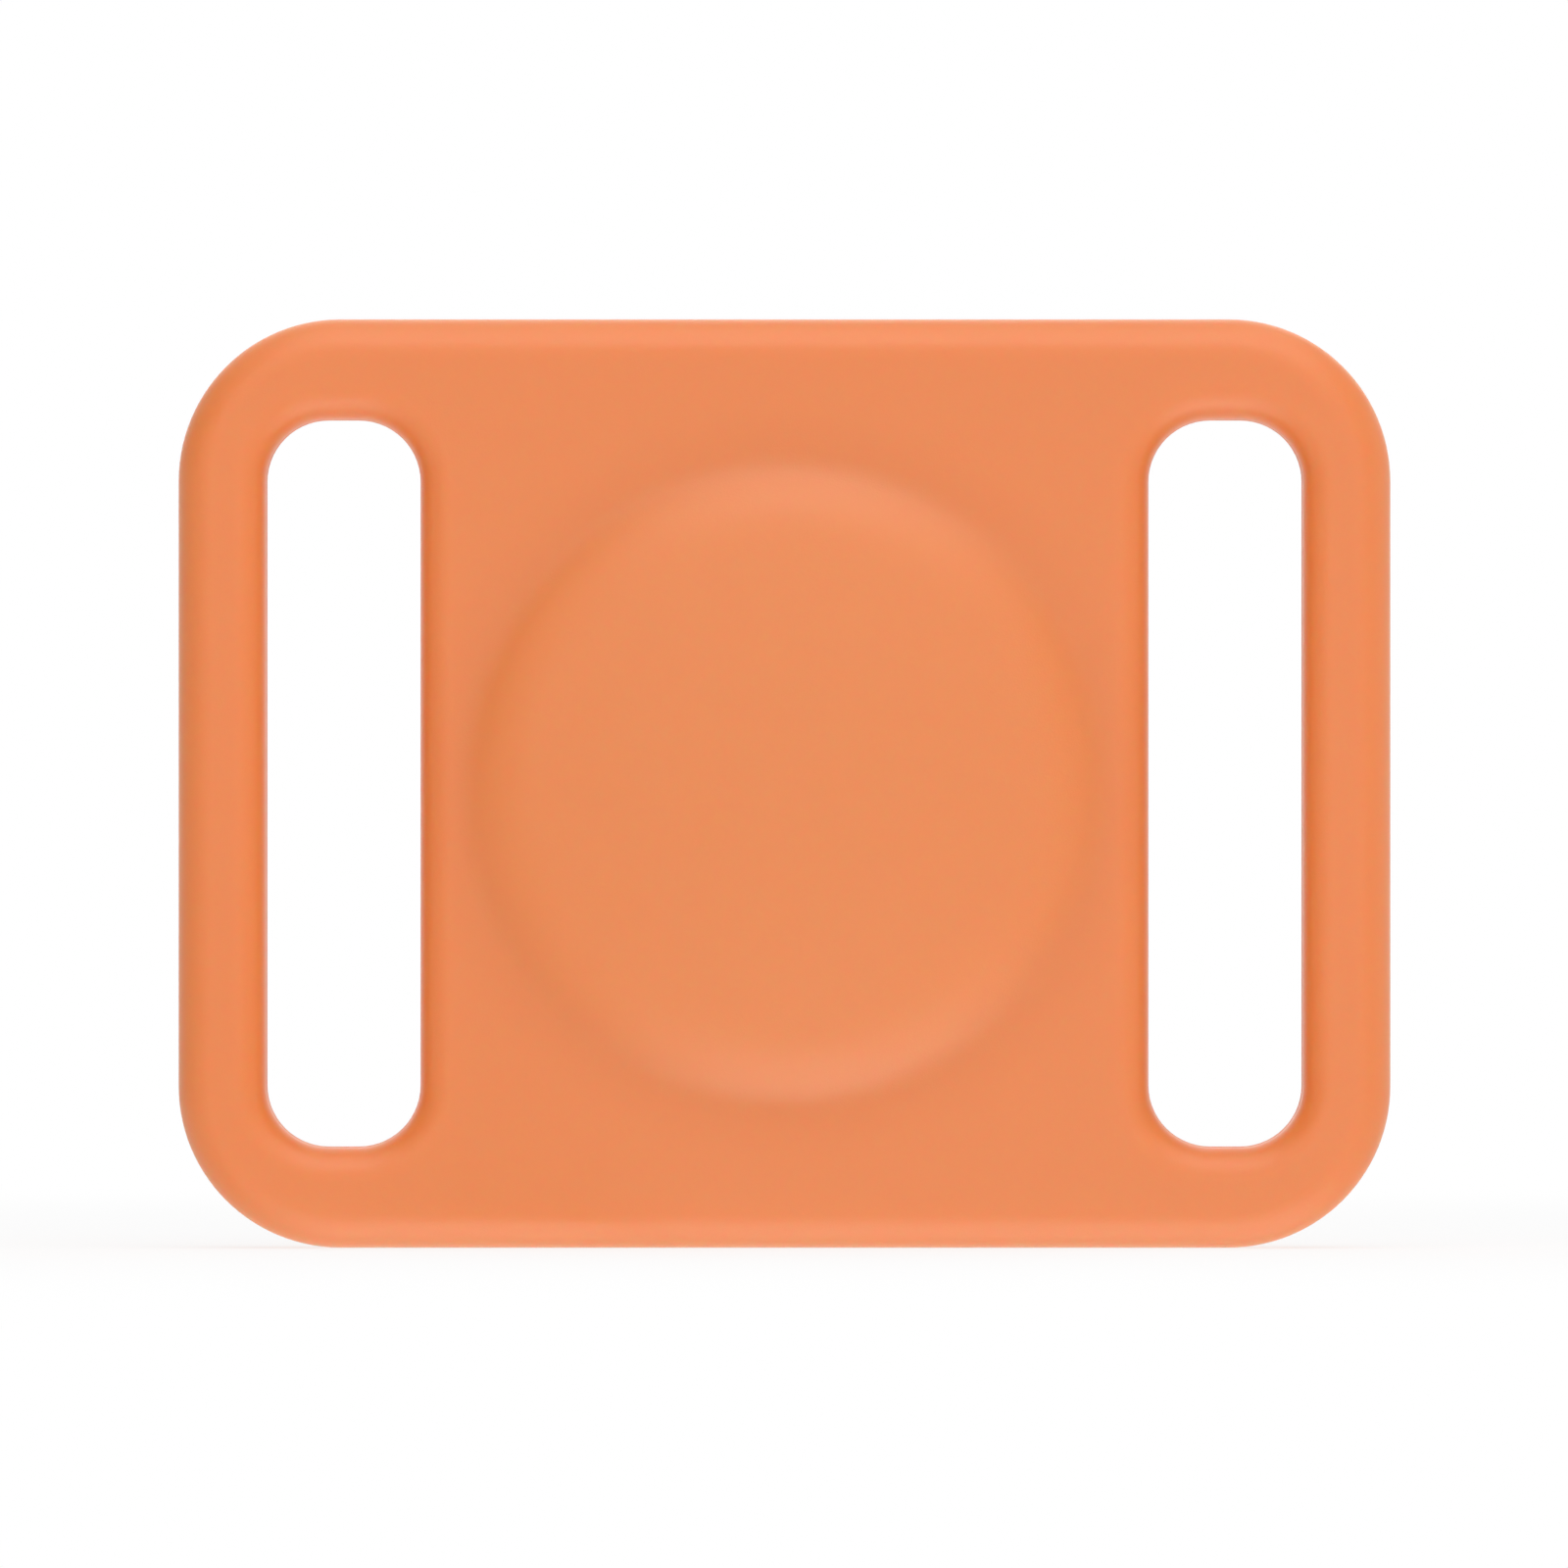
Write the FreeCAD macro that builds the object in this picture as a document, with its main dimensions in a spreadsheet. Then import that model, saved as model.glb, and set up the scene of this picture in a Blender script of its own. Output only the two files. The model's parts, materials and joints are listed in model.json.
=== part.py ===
import FreeCAD
import Part
import Sketcher
import math
import os

# Tracker tag holder: a silicone plate worn on a strap, with a coin tag in a pocket behind a low dome.
# The part stands as it is worn: the dome faces -Y, the flat back lies in the plane Y = 0, and the
# strap runs along X behind it. Each piece is drawn lying on its back, with its depth along its own
# Z axis, and is then stood up by its placement. Sizes are millimetres and angles are degrees.

SIZES = {
    # Coin cell
    "cell_diameter": 20.0,
    "cell_thickness": 3.2,
    "cell_sheet": 0.25,          # wall of the can and of the cap
    "cell_grommet": 0.45,        # plastic ring between the can and the cap
    "cap_proud": 0.35,           # cap past the rolled rim of the can
    "crimp_clearance": 0.1,
    "core_clearance": 0.1,
    # Tag, from the cell outwards
    "cell_clearance": 0.4,
    "insert_wall": 1.5,
    "lug_reach": 0.8,
    "turn_clearance": 0.25,      # lugs to the bore of the tray
    "tray_wall": 0.8,
    "edge_room": 1.3,            # tray to the inside of the shell at its widest
    "shell_wall": 0.9,
    # Tag, from the back to the front
    "cover_drop": 0.45,          # rim of the cover in front of its middle
    "cover_sheet": 0.35,
    "cell_play": 0.05,
    "contact_gap": 0.4,
    "tray_floor": 0.5,
    "board_thickness": 0.5,
    "shield_height": 0.65,
    "crown_room": 1.0,           # top of the shield can to the inside of the shell, at the middle
    # Tag shell and cover
    "tag_crown": 1.1,            # rise of the front above its rounded edge
    "rim_setback": 0.5,          # back of the tag to the rim of its shell
    "cover_overhang": 0.2,       # cover past the lugs
    "cover_gap": 0.15,           # cover to the mouth of the shell
    "cover_skirt": 0.85,
    "cover_edge_round": 0.25,
    # Bayonet
    "insert_depth": 2.15,        # how far the insert reaches along the cell
    "lug_thickness": 0.5,
    "lug_angle": 24.0,
    "lug_play": 0.1,
    "ledge_thickness": 0.45,
    "ledge_angle": 30.0,
    "ledge_clearance": 0.15,     # ledges to the wall of the insert
    "lug_count": 3,
    "bayonet_root": 0.3,         # how far lugs and ledges run into the wall that carries them
    # Seal, tray and contacts
    "seal_thickness": 0.35,
    "seal_play": 0.05,
    "seal_margin": 0.1,
    "contact_room": 0.7,         # cell to the inner wall of the tray
    "flange_gap": 0.65,          # flange of the tray to the inside of the shell
    "contact_sheet": 0.2,
    "contact_width": 2.4,
    "contact_height": 1.1,
    "contact_touch": 0.05,
    "contact_count": 3,
    "leaf_sheet": 0.12,
    "leaf_width": 3.0,
    "leaf_length": 6.4,
    "leaf_foot": 1.6,
    "leaf_tip": 1.2,
    # Board and its parts
    "board_clearance": 0.4,      # speaker to the board
    "board_margin": 0.5,
    "shield_length": 4.0,
    "shield_width": 5.2,
    "shield_corner": 0.5,
    "shield_edge_round": 0.15,
    "chip_length": 3.6,
    "chip_width": 3.8,
    "chip_height": 0.6,
    "crystal_length": 2.0,
    "crystal_width": 1.6,
    "crystal_height": 0.5,
    "passive_length": 1.0,
    "passive_width": 0.5,
    "passive_height": 0.4,
    "passive_pitch": 1.4,
    "passive_count": 6,
    "antenna_thickness": 0.1,
    "antenna_gap": 0.3,          # board to the antennas
    "antenna_width": 0.8,
    "antenna_angle": 100.0,
    "antenna_count": 3,
    # Speaker
    "yoke_diameter": 10.4,
    "yoke_base": 0.4,
    "yoke_wall": 0.45,
    "pole_thickness": 0.3,
    "coil_clearance": 0.3,       # coil to the yoke and to the magnet
    "coil_thickness": 0.65,
    "coil_glue": 0.15,           # top of the coil to the inside of the shell, at the middle
    "coil_proud": 0.65,          # coil past the top of the yoke
    "coil_dip": 0.6,             # coil below the top of the yoke
    # Holder
    "pocket_clearance": 0.1,
    "back_recess": 0.4,          # back of the tag in front of the flat back
    "front_skin": 1.2,
    "dome_rise": 2.2,
    "dome_skirt": 1.6,           # foot of the dome past the edge of the tag
    "dome_crown_radius": 95.0,
    "dome_shoulder_radius": 9.0,
    "dome_root_radius": 3.2,
    "dome_footing": 0.5,         # how far the dome runs into the plate
    "web_width": 1.65,           # foot of the dome to a slot
    "slot_width": 8.2,
    "slot_length": 38.5,
    "slot_end_flat": 1.6,        # straight stretch at each end of a slot, between its corners
    "slot_round": 1.6,
    "bar_width": 4.6,            # outer bar, beside a slot
    "end_width": 5.25,           # above and below a slot
    "corner_radius": 8.5,
    "edge_round": 1.8,
    "lip_overlap": 2.75,         # lip over the edge of the tag
    "lip_root": 0.6,             # thickness of the lip at the widest place of the pocket
    "lip_edge_round": 0.3,
}

# Places that follow from the sizes. Each formula may use the places above it.
PLACES = {
    # Distances from the axis of the tag, from the cell outwards
    "cell": "Sizes.cell_diameter / 2",
    "cap": "cell - Sizes.cell_sheet - Sizes.cell_grommet",
    "insert_bore": "cell + Sizes.cell_clearance",
    "insert": "insert_bore + Sizes.insert_wall",
    "lug": "insert + Sizes.lug_reach",
    "tray_bore": "lug + Sizes.turn_clearance",
    "tray": "tray_bore + Sizes.tray_wall",
    "tag": "tray + Sizes.edge_room + Sizes.shell_wall",
    "cover": "lug + Sizes.cover_overhang",
    "cover_bore": "cover - Sizes.cover_sheet",
    "mouth": "cover + Sizes.cover_gap",
    "tray_seat": "cell + Sizes.contact_room",
    "flange": "tag - Sizes.shell_wall - Sizes.flange_gap",
    "yoke": "Sizes.yoke_diameter / 2",
    "yoke_bore": "yoke - Sizes.yoke_wall",
    "coil": "yoke_bore - Sizes.coil_clearance",
    "coil_bore": "coil - Sizes.coil_thickness",
    "magnet": "coil_bore - Sizes.coil_clearance",
    "board_bore": "yoke + Sizes.board_clearance",
    "parts_inner": "board_bore + Sizes.board_margin",
    "passive_row": "parts_inner + Sizes.crystal_width + Sizes.board_margin",
    "antenna": "tray_bore + Sizes.antenna_gap",
    "contact": "cell + Sizes.contact_touch",
    "contact_back": "contact + Sizes.contact_sheet",
    "contact_foot": "sqrt((tray_seat - Sizes.contact_touch)^2 - (Sizes.contact_width / 2)^2)",
    # Depths in the tag, from its back to its front
    "insert_face": "Sizes.cover_drop + Sizes.cover_sheet",
    "skirt_end": "Sizes.cover_drop + Sizes.cover_skirt",
    "cell_back": "insert_face + Sizes.cell_play",
    "cell_front": "cell_back + Sizes.cell_thickness",
    "can_front": "cell_front - Sizes.cap_proud",
    "floor_back": "cell_front + Sizes.contact_gap",
    "floor_front": "floor_back + Sizes.tray_floor",
    "board_front": "floor_front + Sizes.board_thickness",
    "cavity_front": "board_front + Sizes.shield_height + Sizes.crown_room",
    "tag_front": "cavity_front + Sizes.shell_wall",
    "insert_end": "cell_back + Sizes.insert_depth",
    "lug_back": "insert_end - Sizes.lug_thickness",
    "ledge_front": "lug_back - Sizes.lug_play",
    "ledge_back": "ledge_front - Sizes.ledge_thickness",
    "seal_back": "insert_end + Sizes.seal_play",
    "seal_front": "seal_back + Sizes.seal_thickness",
    "coil_front": "cavity_front - Sizes.coil_glue",
    "yoke_front": "coil_front - Sizes.coil_proud",
    "pole_back": "yoke_front - Sizes.pole_thickness",
    "leaf_back": "cell_front + Sizes.contact_touch",
    # Steel cover: a shallow sphere
    "cover_sphere": "(cover^2 + Sizes.cover_drop^2) / (2 * Sizes.cover_drop)",
    "cover_inside": "cover_sphere - Sizes.cover_sheet",
    "cover_bend": "cover_sphere - sqrt(cover_inside^2 - cover_bore^2)",
    # Shell of the tag: a rounded edge about (edge_centre, widest) that runs tangent into the crown
    "edge": "(tag_front - Sizes.tag_crown - Sizes.rim_setback) / 2",
    "edge_centre": "tag - edge",
    "widest": "edge + Sizes.rim_setback",
    "front_half": "tag_front - widest",
    "crown": "(edge_centre^2 + front_half^2 - edge^2) / (2 * Sizes.tag_crown)",
    "tangent_across": "edge_centre / (crown - edge)",
    "tangent_up": "(crown - front_half) / (crown - edge)",
    "edge_inside": "edge - Sizes.shell_wall",
    "crown_inside": "crown - Sizes.shell_wall",
    "mouth_back": "widest - sqrt(edge^2 - (mouth - edge_centre)^2)",
    "mouth_front": "widest - sqrt(edge_inside^2 - (mouth - edge_centre)^2)",
    # Pocket of the holder, round the tag, with depths from the flat back
    "pocket": "tag + Sizes.pocket_clearance",
    "pocket_edge": "edge + Sizes.pocket_clearance",
    "pocket_crown": "crown + Sizes.pocket_clearance",
    "pocket_widest": "widest + Sizes.back_recess",
    "pocket_front": "tag_front + Sizes.pocket_clearance + Sizes.back_recess",
    "lip_foot": "pocket + Sizes.lip_root",
    "lip_opening": "tag - Sizes.lip_overlap",
    "lip_front": "pocket_widest - sqrt(pocket_edge^2 - (lip_opening - edge_centre)^2)",
    # Plate of the holder
    "dome_foot": "tag + Sizes.dome_skirt",
    "slot_inner": "dome_foot + Sizes.web_width",
    "slot_outer": "slot_inner + Sizes.slot_width",
    "half_width": "slot_outer + Sizes.bar_width",
    "half_slot": "Sizes.slot_length / 2",
    "half_height": "half_slot + Sizes.end_width",
    "slot_corner": "(Sizes.slot_width - Sizes.slot_end_flat) / 2",
    "holder_front": "Sizes.back_recess + tag_front + Sizes.front_skin",
    "plate_front": "holder_front - Sizes.dome_rise",
    "dome_base": "plate_front - Sizes.dome_footing",
    # Dome: three tangent arcs. The shoulder's centre is where a circle about the crown's centre
    # meets a circle about the root's centre.
    "crown_to_shoulder": "Sizes.dome_crown_radius - Sizes.dome_shoulder_radius",
    "shoulder_to_root": "Sizes.dome_shoulder_radius + Sizes.dome_root_radius",
    "root_up": "Sizes.dome_crown_radius + Sizes.dome_root_radius - Sizes.dome_rise",
    "crown_to_root": "sqrt(dome_foot^2 + root_up^2)",
    "along": "(crown_to_shoulder^2 - shoulder_to_root^2 + crown_to_root^2) / (2 * crown_to_root)",
    "aside": "sqrt(crown_to_shoulder^2 - along^2)",
    "shoulder_across": "(along * dome_foot - aside * root_up) / crown_to_root",
    "shoulder_up": "(along * root_up + aside * dome_foot) / crown_to_root",
    "crown_centre": "holder_front - Sizes.dome_crown_radius",
    "crown_share": "Sizes.dome_crown_radius / crown_to_shoulder",
    "shoulder_share": "Sizes.dome_shoulder_radius / shoulder_to_root",
}

LEFT, RIGHT = 1, -1              # which way an arc turns as it is followed
UPRIGHT = FreeCAD.Rotation(FreeCAD.Vector(1, 0, 0), 90)
NEAR = 1e-6

doc = FreeCAD.newDocument("TrackerTagHolder")


def fill_sheet(name, cells, mark=""):
    """A sheet with a label, a value and an alias in each row."""
    filled = doc.addObject("Spreadsheet::Sheet", name)
    for row, (alias, content) in enumerate(cells.items(), start=1):
        filled.set(f"A{row}", alias.replace("_", " "))
        filled.set(f"B{row}", f"{mark}{content}")
        filled.setAlias(f"B{row}", alias)
    doc.recompute()
    return filled


sheet = fill_sheet("Sizes", SIZES)
fill_sheet("Places", PLACES, mark="=")


def value(expression):
    return float(sheet.evalExpression(expression))


def place(name):
    return f"Places.{name}"


def size(name):
    return f"Sizes.{name}"


def origin_feature(body, role):
    return next(item for item in body.Origin.OriginFeatures if item.Role == role)


def bind(sketch, kind, where, amount, name):
    """Adds a dimension to a sketch and binds it to the sheets."""
    index = sketch.addConstraint(Sketcher.Constraint(kind, *where, value(amount)))
    sketch.renameConstraint(index, name)
    sketch.setExpression(f"Constraints.{name}", amount)


def arc_between(start, end, radius, turn):
    """The short arc from start to end, turning left or right."""
    half = (end - start) * 0.5
    reach = math.sqrt(max(radius ** 2 - half.Length ** 2, 0.0))
    centre = start + half + FreeCAD.Vector(-half.y, half.x, 0).normalize() * (reach * turn)
    ends = (start, end) if turn == LEFT else (end, start)
    angles = [math.atan2(point.y - centre.y, point.x - centre.x) for point in ends]
    return Part.ArcOfCircle(Part.Circle(centre, FreeCAD.Vector(0, 0, 1), radius), *angles)


def draw_outline(sketch, corners):
    """Draws a closed outline from its corners, each (across, up) as expressions.

    The side that leaves a corner is straight, or an arc if the corner goes on with (radius, turn).
    A straight side along an axis is held level. Every other place is a dimension.
    """
    points = [FreeCAD.Vector(value(corner[0]), value(corner[1]), 0) for corner in corners]
    sides = []
    for number, corner in enumerate(corners):
        start, end = points[number], points[(number + 1) % len(points)]
        if len(corner) == 2:
            sides.append((sketch.addGeometry(Part.LineSegment(start, end)), 1, 2))
            continue
        radius, turn = corner[2:]
        side = sketch.addGeometry(arc_between(start, end, value(radius), turn))
        sides.append((side, 1, 2) if turn == LEFT else (side, 2, 1))

    for number, (side, start, _) in enumerate(sides):
        previous, _, previous_end = sides[number - 1]
        sketch.addConstraint(Sketcher.Constraint("Coincident", previous, previous_end, side, start))
    axes = (("DistanceX", "Vertical", -2), ("DistanceY", "Horizontal", -1))
    for number, (side, start, _) in enumerate(sides):
        corner, previous = corners[number], corners[number - 1]
        after_line = number > 0 and len(previous) == 2
        for amount, before, (kind, level, axis) in zip(corner, previous, axes):
            if after_line and amount == before:
                sketch.addConstraint(Sketcher.Constraint(level, sides[number - 1][0]))
            elif amount == "0":
                sketch.addConstraint(Sketcher.Constraint("PointOnObject", side, start, axis))
            else:
                bind(sketch, kind, (-1, 1, side, start), amount, f"{kind}_{side}")
        if len(corner) > 2:
            bind(sketch, "Radius", (side,), corner[2], f"Radius_{side}")


def rectangle(left, right, low, high):
    return [(left, low), (right, low), (right, high), (left, high)]


def rounded_rectangle(left, right, low, high, radius):
    return [
        (f"{left} + {radius}", low), (f"{right} - {radius}", low, radius, LEFT),
        (right, f"{low} + {radius}"), (right, f"{high} - {radius}", radius, LEFT),
        (f"{right} - {radius}", high), (f"{left} + {radius}", high, radius, LEFT),
        (left, f"{high} - {radius}"), (left, f"{low} + {radius}", radius, LEFT),
    ]


def new_body(label):
    body = doc.addObject("PartDesign::Body", label)
    body.Label = label
    return body


def new_sketch(body, name, plane, outlines):
    sketch = body.newObject("Sketcher::SketchObject", f"{name}_outline")
    sketch.AttachmentSupport = (origin_feature(body, plane), [""])
    sketch.MapMode = "FlatFace"
    for corners in outlines:
        draw_outline(sketch, corners)
    return sketch


def revolve(body, name, corners, angle=None, kind="PartDesign::Revolution"):
    """Turns an outline about the depth axis, all the way round or by an angle about the X axis."""
    sketch = new_sketch(body, name, "XZ_Plane", [corners])
    feature = body.newObject(kind, name)
    feature.Profile = sketch
    feature.ReferenceAxis = (sketch, ["V_Axis"])
    feature.Angle = 360
    if angle:
        feature.Midplane = True
        feature.setExpression("Angle", angle)
    doc.recompute()
    return feature


def extrude(body, name, outlines, length, lift=None):
    """Pads outlines along the depth axis, from a plane that is lifted along it."""
    sketch = new_sketch(body, name, "XY_Plane", outlines)
    if lift:
        sketch.setExpression("AttachmentOffset.Base.z", lift)
    feature = body.newObject("PartDesign::Pad", name)
    feature.Profile = sketch
    feature.setExpression("Length", length)
    doc.recompute()
    return feature


def extrude_sideways(body, name, corners, width):
    """Pads an outline drawn in across and depth to both sides of its plane."""
    feature = body.newObject("PartDesign::Pad", name)
    feature.Profile = new_sketch(body, name, "XZ_Plane", [corners])
    feature.Midplane = True
    feature.setExpression("Length", width)
    doc.recompute()
    return feature


def repeat_round(body, feature, count):
    pattern = body.newObject("PartDesign::PolarPattern", f"{feature.Name}_round")
    pattern.Originals = [feature]
    pattern.Axis = (origin_feature(body, "Z_Axis"), [""])
    pattern.Angle = 360
    pattern.setExpression("Occurrences", count)
    body.Tip = pattern
    doc.recompute()


def repeat_across(body, feature, pitch, count):
    pattern = body.newObject("PartDesign::LinearPattern", f"{feature.Name}_row")
    pattern.Originals = [feature]
    pattern.Direction = (origin_feature(body, "X_Axis"), [""])
    pattern.setExpression("Length", f"{pitch} * ({count} - 1)")
    pattern.setExpression("Occurrences", count)
    body.Tip = pattern
    doc.recompute()


def round_edges(body, name, base, chosen, radius):
    """Rounds the edges of a feature that the function chosen picks."""
    numbered = enumerate(base.Shape.Edges, start=1)
    fillet = body.newObject("PartDesign::Fillet", name)
    fillet.Base = (base, [f"Edge{number}" for number, edge in numbered if chosen(edge)])
    fillet.setExpression("Radius", radius)
    doc.recompute()
    return fillet


def is_level(edge):
    return edge.BoundBox.ZLength < NEAR


def stand(piece, depth="0"):
    """Stands a piece up, with its own origin at a depth in front of the flat back."""
    piece.Placement = FreeCAD.Placement(FreeCAD.Vector(), UPRIGHT)
    piece.setExpression("Placement.Base.y", f"-({depth})")
    return piece


def stand_in_pocket(piece):
    return stand(piece, depth=size("back_recess"))


def turned_piece(label, corners):
    """A piece of the tag that is one outline turned about the axis."""
    body = new_body(label)
    revolve(body, f"{label}_turn", corners)
    return stand_in_pocket(body)


def tangent_point(reach):
    """Where an arc of radius reach about the edge centre meets its crown."""
    return (f"Places.edge_centre + {reach} * Places.tangent_across",
            f"Places.widest + {reach} * Places.tangent_up")


def dome_outline():
    crown, shoulder, root = (size(f"dome_{arc}_radius") for arc in ("crown", "shoulder", "root"))
    meets_crown = ("Places.shoulder_across * Places.crown_share",
                   "Places.crown_centre + Places.shoulder_up * Places.crown_share")
    meets_root = (
        "Places.shoulder_across + (Places.dome_foot - Places.shoulder_across) * Places.shoulder_share",
        "Places.crown_centre + Places.shoulder_up"
        " + (Places.root_up - Places.shoulder_up) * Places.shoulder_share",
    )
    return [
        ("0", place("dome_base")),
        (place("dome_foot"), place("dome_base")),
        (place("dome_foot"), place("plate_front"), root, RIGHT),
        (*meets_root, shoulder, LEFT),
        (*meets_crown, crown, LEFT),
        ("0", place("holder_front")),
    ]


def pocket_outline():
    """Room for the tag and, behind its widest place, for the lip."""
    meet_across, meet_up = tangent_point(place("pocket_edge"))
    return [
        ("0", "0"),
        (place("lip_foot"), "0"),
        (place("lip_foot"), place("pocket_widest")),
        (place("pocket"), place("pocket_widest"), place("pocket_edge"), LEFT),
        (meet_across, f"{meet_up} + Sizes.back_recess", place("pocket_crown"), LEFT),
        ("0", place("pocket_front")),
    ]


def make_holder_body():
    body = new_body("holder_body")
    half_width, half_height, half_slot = place("half_width"), place("half_height"), place("half_slot")
    inner, outer = place("slot_inner"), place("slot_outer")
    rim = rounded_rectangle(
        f"-{half_width}", half_width, f"-{half_height}", half_height, size("corner_radius"))
    slots = [
        rounded_rectangle(left, right, f"-{half_slot}", half_slot, place("slot_corner"))
        for left, right in ((inner, outer), (f"-{outer}", f"-{inner}"))
    ]
    plate = extrude(body, "plate", [rim, *slots], place("plate_front"))

    def is_on_slot(edge):
        box = edge.BoundBox
        nearest, furthest = sorted((abs(box.XMin), abs(box.XMax)))
        across = nearest > value(inner) - NEAR and furthest < value(outer) + NEAR
        along = max(box.YMax, -box.YMin) < value(half_slot) + NEAR
        return is_level(edge) and across and along

    def is_on_rim(edge):
        return is_level(edge) and not is_on_slot(edge)

    rounded = round_edges(body, "rim_rounding", plate, is_on_rim, size("edge_round"))
    rounded = round_edges(body, "slot_rounding", rounded, is_on_slot, size("slot_round"))
    dome = revolve(body, "dome", dome_outline())
    pocket = revolve(body, "tag_pocket", pocket_outline(), kind="PartDesign::Groove")
    if pocket.Shape.Volume > dome.Shape.Volume - 1:
        raise RuntimeError("the pocket cuts nothing")
    return stand(body)


def make_retaining_lip():
    body = new_body("retaining_lip")
    opening = place("lip_opening")
    ring = revolve(body, "lip", [
        (opening, "0"),
        (place("lip_foot"), "0"),
        (place("lip_foot"), place("pocket_widest")),
        (place("pocket"), place("pocket_widest"), place("pocket_edge"), RIGHT),
        (opening, place("lip_front")),
    ])

    def is_at_opening(edge):
        return is_level(edge) and abs(edge.BoundBox.XMax - value(opening)) < NEAR

    round_edges(body, "lip_rounding", ring, is_at_opening, size("lip_edge_round"))
    return stand(body)


def make_tag_front_shell():
    wall = size("shell_wall")
    return turned_piece("tag_front_shell", [
        (place("tag"), place("widest"), place("edge"), LEFT),
        (*tangent_point(place("edge")), place("crown"), LEFT),
        ("0", place("tag_front")),
        ("0", place("cavity_front"), place("crown_inside"), RIGHT),
        (*tangent_point(place("edge_inside")), place("edge_inside"), RIGHT),
        (f"Places.tag - {wall}", place("widest")),
    ])


def make_tag_back_ring():
    return turned_piece("tag_back_ring", [
        (place("mouth"), place("mouth_back"), place("edge"), LEFT),
        (place("tag"), place("widest")),
        (f"Places.tag - {size('shell_wall')}", place("widest"), place("edge_inside"), RIGHT),
        (place("mouth"), place("mouth_front")),
    ])


def make_battery_tray():
    body = new_body("battery_tray")
    seat, insert, bore, tray = place("tray_seat"), place("insert"), place("tray_bore"), place("tray")
    back, front = place("floor_back"), place("floor_front")
    revolve(body, "tray", [
        ("0", back), (seat, back), (seat, place("seal_front")), (insert, place("seal_front")),
        (insert, back), (bore, back), (bore, place("ledge_back")), (tray, place("ledge_back")),
        (tray, back), (place("flange"), back), (place("flange"), front), ("0", front),
    ])
    ledge = revolve(body, "ledge", rectangle(
        f"{insert} + Sizes.ledge_clearance", f"{bore} + Sizes.bayonet_root",
        place("ledge_back"), place("ledge_front")), angle=size("ledge_angle"))
    repeat_round(body, ledge, size("lug_count"))
    return stand_in_pocket(body)


def make_cover_seal():
    return turned_piece("cover_seal", rectangle(
        place("tray_seat"), f"Places.insert - {size('seal_margin')}",
        place("seal_back"), place("seal_front")))


def make_battery_cover():
    body = new_body("battery_cover")
    cover, bore, drop = place("cover"), place("cover_bore"), size("cover_drop")
    skin = revolve(body, "cover_skin", [
        ("0", "0", place("cover_sphere"), LEFT),
        (cover, drop),
        (cover, place("skirt_end")),
        (bore, place("skirt_end")),
        (bore, place("cover_bend"), place("cover_inside"), RIGHT),
        ("0", size("cover_sheet")),
    ])

    def is_outer_rim(edge):
        box = edge.BoundBox
        return is_level(edge) and abs(box.XMax - value(cover)) < NEAR and box.ZMax < value(drop) + NEAR

    round_edges(body, "cover_rounding", skin, is_outer_rim, size("cover_edge_round"))
    return stand_in_pocket(body)


def make_cover_insert():
    body = new_body("cover_insert")
    bore, insert, cover_bore = place("insert_bore"), place("insert"), place("cover_bore")
    face, end = place("insert_face"), place("insert_end")
    revolve(body, "insert", [
        ("0", size("cover_sheet"), place("cover_inside"), LEFT),
        (cover_bore, place("cover_bend")),
        (cover_bore, place("skirt_end")), (insert, place("skirt_end")),
        (insert, end), (bore, end), (bore, face), ("0", face),
    ])
    lug = revolve(body, "lug", rectangle(
        f"{insert} - Sizes.bayonet_root", place("lug"), place("lug_back"), end), angle=size("lug_angle"))
    repeat_round(body, lug, size("lug_count"))
    return stand_in_pocket(body)


def make_cell():
    sheet_in = "Sizes.cell_sheet"
    cell, cap, back, front = place("cell"), place("cap"), place("cell_back"), place("cell_front")
    can_front, bore = place("can_front"), f"Places.cell - {sheet_in}"
    rim = f"{cap} + Sizes.crimp_clearance"
    inner_back, inner_front = f"{back} + {sheet_in}", f"{can_front} - {sheet_in}"
    cap_bore, cap_inside = f"{cap} - {sheet_in}", f"{front} - {sheet_in}"
    return [
        turned_piece("cell_can", [
            ("0", back), (cell, back), (cell, can_front), (rim, can_front), (rim, inner_front),
            (bore, inner_front), (bore, inner_back), ("0", inner_back),
        ]),
        turned_piece("cell_gasket", rectangle(cap, bore, inner_back, inner_front)),
        turned_piece("cell_cap", [
            (cap_bore, inner_back), (cap, inner_back), (cap, front), ("0", front),
            ("0", cap_inside), (cap_bore, cap_inside),
        ]),
        turned_piece("cell_core", rectangle(
            "0", f"{cap_bore} - Sizes.core_clearance", inner_back, cap_inside)),
    ]


def make_contacts():
    positive = new_body("positive_contacts")
    inner, outer, floor = place("contact"), place("contact_back"), place("floor_back")
    leg_end, foot_back = f"{floor} - Sizes.contact_height", f"{floor} - Sizes.contact_sheet"
    leaf = extrude_sideways(positive, "side_leaf", [
        (inner, leg_end), (outer, leg_end), (outer, foot_back), (place("contact_foot"), foot_back),
        (place("contact_foot"), floor), (inner, floor),
    ], size("contact_width"))
    repeat_round(positive, leaf, size("contact_count"))

    negative = new_body("negative_contact")
    half = "Sizes.leaf_length / 2"
    foot_end, tip_start = f"Sizes.leaf_foot - {half}", f"{half} - Sizes.leaf_tip"
    tip, thickness = place("leaf_back"), "Sizes.leaf_sheet"
    extrude_sideways(negative, "middle_leaf", [
        (f"-{half}", floor), (f"-{half}", f"{floor} - {thickness}"), (foot_end, f"{floor} - {thickness}"),
        (tip_start, tip), (half, tip), (half, f"{tip} + {thickness}"), (tip_start, f"{tip} + {thickness}"),
        (foot_end, floor),
    ], size("leaf_width"))
    return [stand_in_pocket(positive), stand_in_pocket(negative)]


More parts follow.
